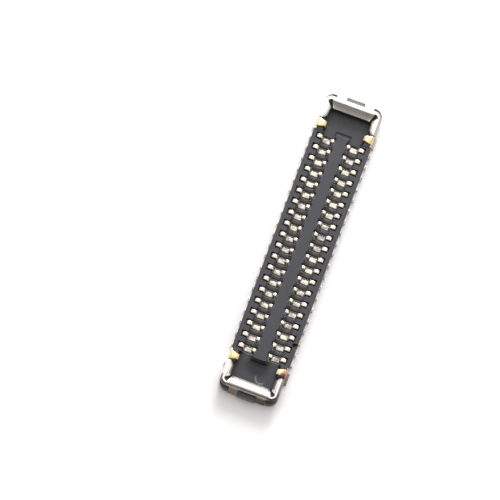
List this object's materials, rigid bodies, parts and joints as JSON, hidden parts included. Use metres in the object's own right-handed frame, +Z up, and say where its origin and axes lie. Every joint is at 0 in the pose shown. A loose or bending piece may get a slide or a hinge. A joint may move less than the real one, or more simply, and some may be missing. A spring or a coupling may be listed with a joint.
{
  "type": "pcb connector",
  "caption": "Low fine-pitch board-to-board receptacle with two rows of formed spring contacts, a centre island and folded metal end covers with guide plates and solder feet.",
  "frame": {"origin": "centre of the part's outline on the board plane, at the bottom of the solder tails", "axes": "+X along the contact rows towards the far end in the picture, +Y across them towards the left row, +Z up out of the mating side"},
  "size_m": [0.0094, 0.002, 0.0006],
  "materials": {
    "housing_plastic": "matt moulded charcoal thermoplastic",
    "contact_metal": "thin pale gold plating over nickel on copper alloy",
    "cover_metal": "bright nickel plating with gold on the tabs and feet, on copper alloy"
  },
  "bodies": {
    "root": {"housing": "housing_plastic", "end_cover_near": "cover_metal", "end_cover_far": "cover_metal", "contact_left_01": "contact_metal", "contact_left_02": "contact_metal", "contact_left_03": "contact_metal", "contact_left_04": "contact_metal", "contact_left_05": "contact_metal", "contact_left_06": "contact_metal", "contact_left_07": "contact_metal", "contact_left_08": "contact_metal", "contact_left_09": "contact_metal", "contact_left_10": "contact_metal", "contact_left_11": "contact_metal", "contact_left_12": "contact_metal", "contact_left_13": "contact_metal", "contact_left_14": "contact_metal", "contact_left_15": "contact_metal", "contact_left_16": "contact_metal", "contact_left_17": "contact_metal", "contact_left_18": "contact_metal", "contact_left_19": "contact_metal", "contact_left_20": "contact_metal", "contact_right_01": "contact_metal", "contact_right_02": "contact_metal", "contact_right_03": "contact_metal", "contact_right_04": "contact_metal", "contact_right_05": "contact_metal", "contact_right_06": "contact_metal", "contact_right_07": "contact_metal", "contact_right_08": "contact_metal", "contact_right_09": "contact_metal", "contact_right_10": "contact_metal", "contact_right_11": "contact_metal", "contact_right_12": "contact_metal", "contact_right_13": "contact_metal", "contact_right_14": "contact_metal", "contact_right_15": "contact_metal", "contact_right_16": "contact_metal", "contact_right_17": "contact_metal", "contact_right_18": "contact_metal", "contact_right_19": "contact_metal", "contact_right_20": "contact_metal"}
  },
  "joints": []
}
